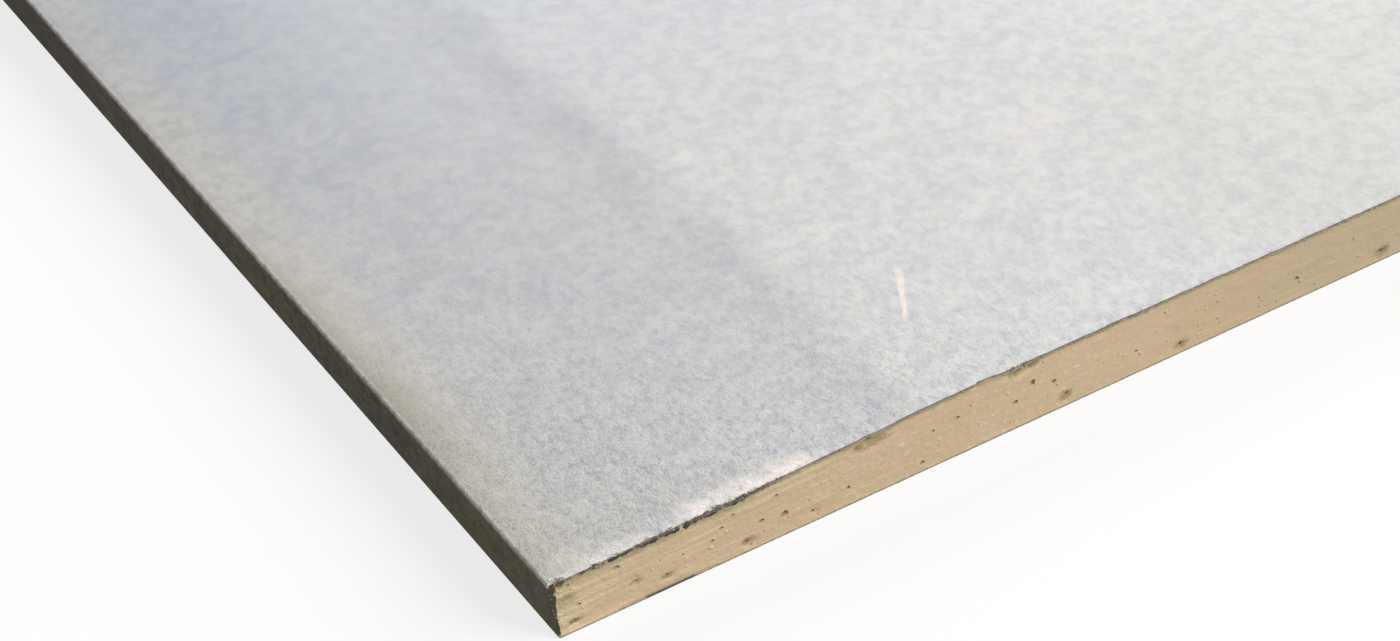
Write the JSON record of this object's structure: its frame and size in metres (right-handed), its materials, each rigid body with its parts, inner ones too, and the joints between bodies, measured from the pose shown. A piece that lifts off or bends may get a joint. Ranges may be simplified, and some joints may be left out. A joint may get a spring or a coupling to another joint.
{
  "type": "drywall sheet",
  "caption": "Flat rectangular gypsum board, paper-faced, with tapered long edges for taped joints and square-cut ends, screwed to framing to line walls and ceilings.",
  "frame": {"origin": "middle of the back of the sheet, on the surface that it lies on", "axes": "+X across the sheet, +Y along it from one cut end to the other, +Z out of the face"},
  "size_m": [1.219, 2.4384, 0.0127],
  "materials": {
    "gypsum": "matt cast plaster, bubbly and crumbly where it is cut",
    "face_paper": "matt fibrous ivory to blue-grey paper, browner and darker on the long edges",
    "back_paper": "matt grey-brown recycled paper"
  },
  "bodies": {
    "root": {"gypsum_core": "gypsum", "face_paper": "face_paper", "back_paper": "back_paper"}
  },
  "joints": []
}
